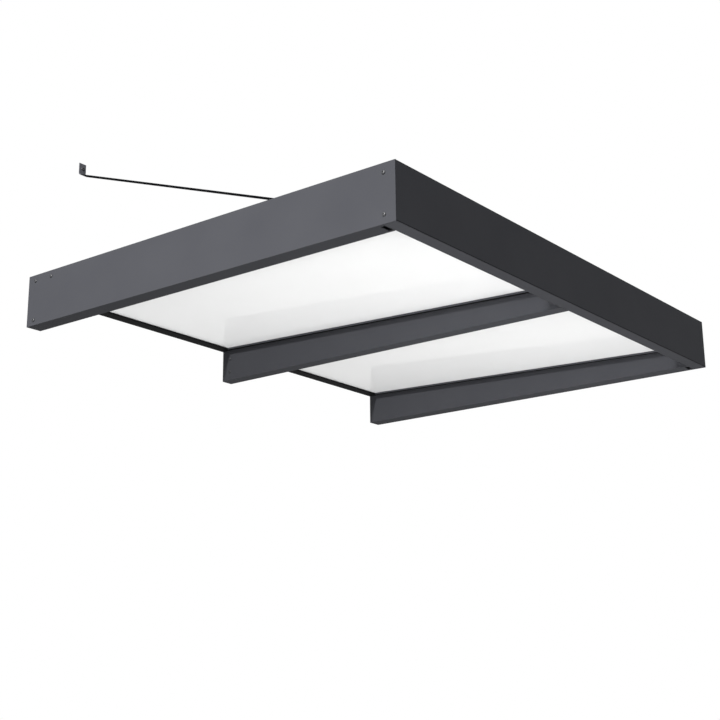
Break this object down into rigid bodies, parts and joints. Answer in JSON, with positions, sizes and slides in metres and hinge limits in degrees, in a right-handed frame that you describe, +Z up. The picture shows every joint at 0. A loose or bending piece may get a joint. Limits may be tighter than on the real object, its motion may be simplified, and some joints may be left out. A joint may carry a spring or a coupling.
{
  "type": "door canopy",
  "caption": "Flat door canopy: box-section metal frame with a middle beam, opal roof sheets with a slight fall to the front, and sloping flat-bar stays up to the wall",
  "frame": {"origin": "the middle of the frame's wall side: on the wall plane, half way across its width and half way up its beams, on the back plate of the middle wall bracket", "axes": "+X runs along the wall to the right as seen from the front, +Y points into the wall, so the canopy reaches out along -Y, and +Z is up"},
  "size_m": [1.5062, 1.18, 0.5078],
  "materials": {
    "anthracite_coat": "matt anthracite powder coat",
    "black_coat": "satin black powder coat",
    "opal_sheet": "glossy translucent white",
    "seal_rubber": "matte",
    "bare_aluminium": "mill finish",
    "stainless_steel": "bright",
    "coated_screw": "satin anthracite coat on stainless screws",
    "stay_coat": "satin black coat"
  },
  "bodies": {
    "root": {"front_beam": "anthracite_coat", "front_beam_ledge_left": "anthracite_coat", "front_beam_ledge_right": "anthracite_coat", "left_beam": "anthracite_coat", "left_beam_ledge": "anthracite_coat", "left_beam_seal": "seal_rubber", "left_front_screw_lower": "coated_screw", "left_front_screw_upper": "coated_screw", "left_roof_sheet": "opal_sheet", "left_stay": "stay_coat", "left_stay_front_screw": "coated_screw", "left_stay_wall_screw": "coated_screw", "left_wall_bolt_lower": "stainless_steel", "left_wall_bolt_upper": "stainless_steel", "left_wall_bracket": "bare_aluminium", "left_wall_profile": "black_coat", "left_wall_screw_far": "coated_screw", "left_wall_screw_lower": "coated_screw", "left_wall_screw_upper": "coated_screw", "middle_beam": "anthracite_coat", "middle_beam_ledge_left": "anthracite_coat", "middle_beam_ledge_right": "anthracite_coat", "middle_beam_seal_left": "seal_rubber", "middle_beam_seal_right": "seal_rubber", "middle_front_bracket": "bare_aluminium", "middle_front_lower_screw_left": "coated_screw", "middle_front_lower_screw_right": "coated_screw", "middle_front_upper_screw_left": "coated_screw", "middle_front_upper_screw_right": "coated_screw", "middle_joint_screw_lower": "stainless_steel", "middle_joint_screw_upper": "stainless_steel", "middle_wall_bolt_lower": "stainless_steel", "middle_wall_bolt_upper": "stainless_steel", "middle_wall_bracket": "bare_aluminium", "middle_wall_lower_screw_left": "coated_screw", "middle_wall_lower_screw_right": "coated_screw", "middle_wall_upper_screw_left": "coated_screw", "middle_wall_upper_screw_right": "coated_screw", "right_beam": "anthracite_coat", "right_beam_ledge": "anthracite_coat", "right_beam_seal": "seal_rubber", "right_front_screw_lower": "coated_screw", "right_front_screw_upper": "coated_screw", "right_roof_sheet": "opal_sheet", "right_stay": "stay_coat", "right_stay_front_screw": "coated_screw", "right_stay_wall_screw": "coated_screw", "right_wall_bolt_lower": "stainless_steel", "right_wall_bolt_upper": "stainless_steel", "right_wall_bracket": "bare_aluminium", "right_wall_profile": "black_coat", "right_wall_screw_far": "coated_screw", "right_wall_screw_lower": "coated_screw", "right_wall_screw_upper": "coated_screw"}
  },
  "joints": []
}
